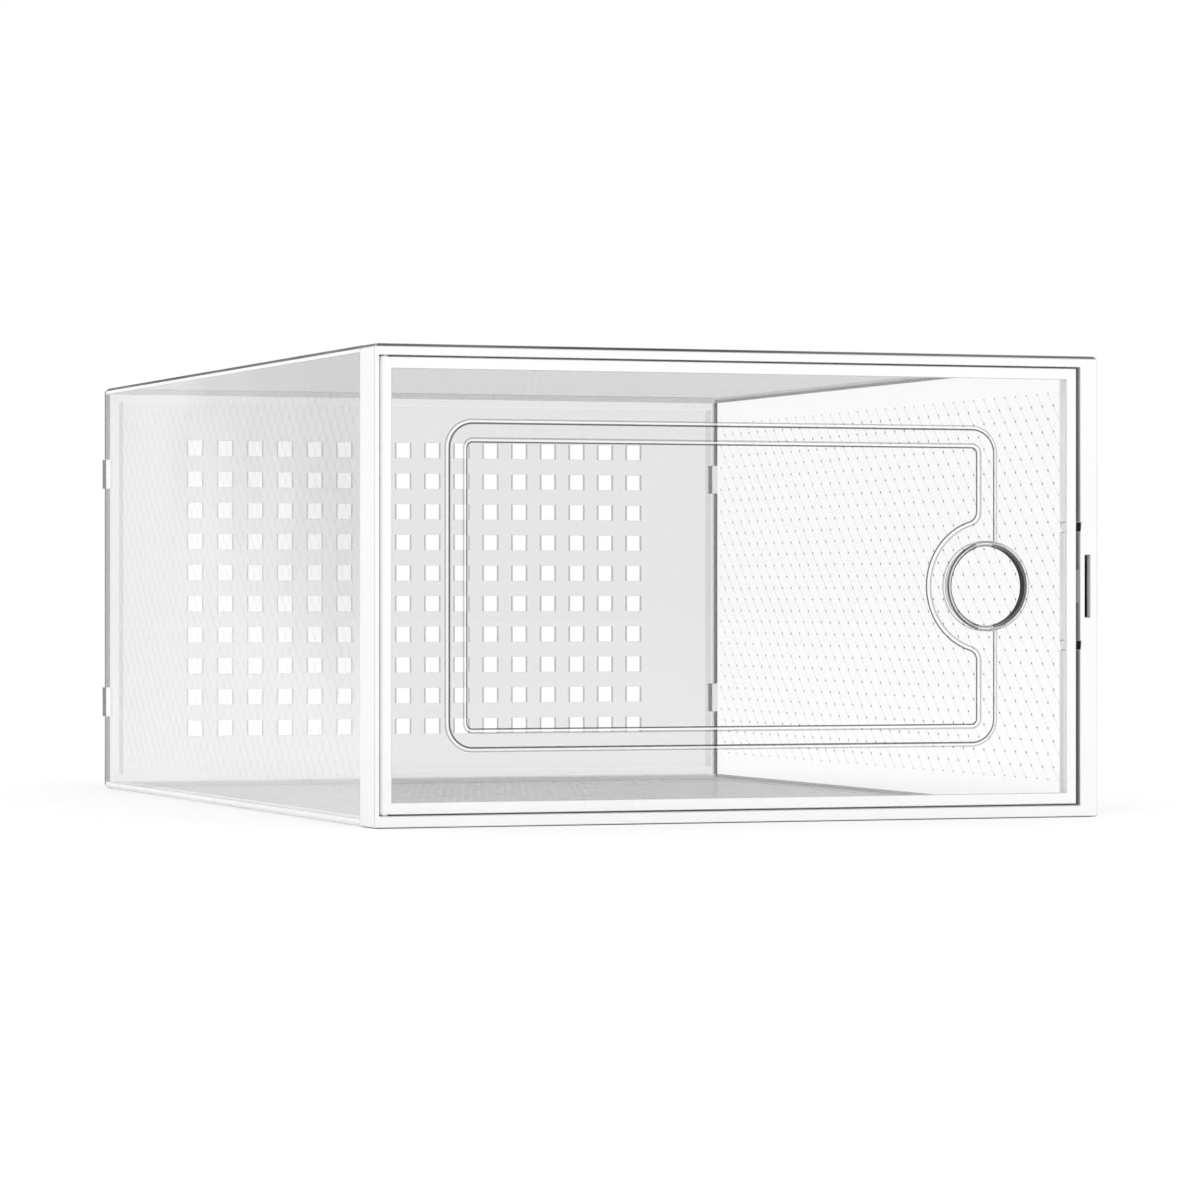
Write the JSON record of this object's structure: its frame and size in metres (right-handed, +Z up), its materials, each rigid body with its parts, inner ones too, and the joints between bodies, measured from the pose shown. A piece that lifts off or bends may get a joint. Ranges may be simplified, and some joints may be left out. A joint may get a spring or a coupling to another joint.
{
  "type": "shoe box",
  "caption": "Stackable clear plastic shoe box with a white front frame, a hinged clear door with a finger hole, and a vented back.",
  "frame": {"origin": "middle of the footprint at floor level; the rear tabs count in the footprint", "axes": "+Y from the door to the back, +X to the right as seen from the front, +Z up"},
  "size_m": [0.23, 0.3254, 0.14],
  "materials": {
    "frame_plastic": "white, satin moulded",
    "door_rim_plastic": "white, satin moulded",
    "door_clear": "clear, polished",
    "panel_clear": "clear, finely embossed",
    "back_clear": "clear, smooth"
  },
  "bodies": {
    "box": {"front_frame": "frame_plastic", "left_side_panel": "panel_clear", "right_side_panel": "panel_clear", "top_panel": "panel_clear", "bottom_panel": "panel_clear", "back_panel": "back_clear"},
    "door": {"door_frame": "door_rim_plastic", "door_pane": "door_clear"}
  },
  "joints": [
    {"name": "door_hinge", "type": "hinge", "parent": "box", "child": "door", "pos_m": [-0.1115, -0.1608, 0.07], "axis": [0, 0, -1], "range_deg": [0, 100]}
  ]
}
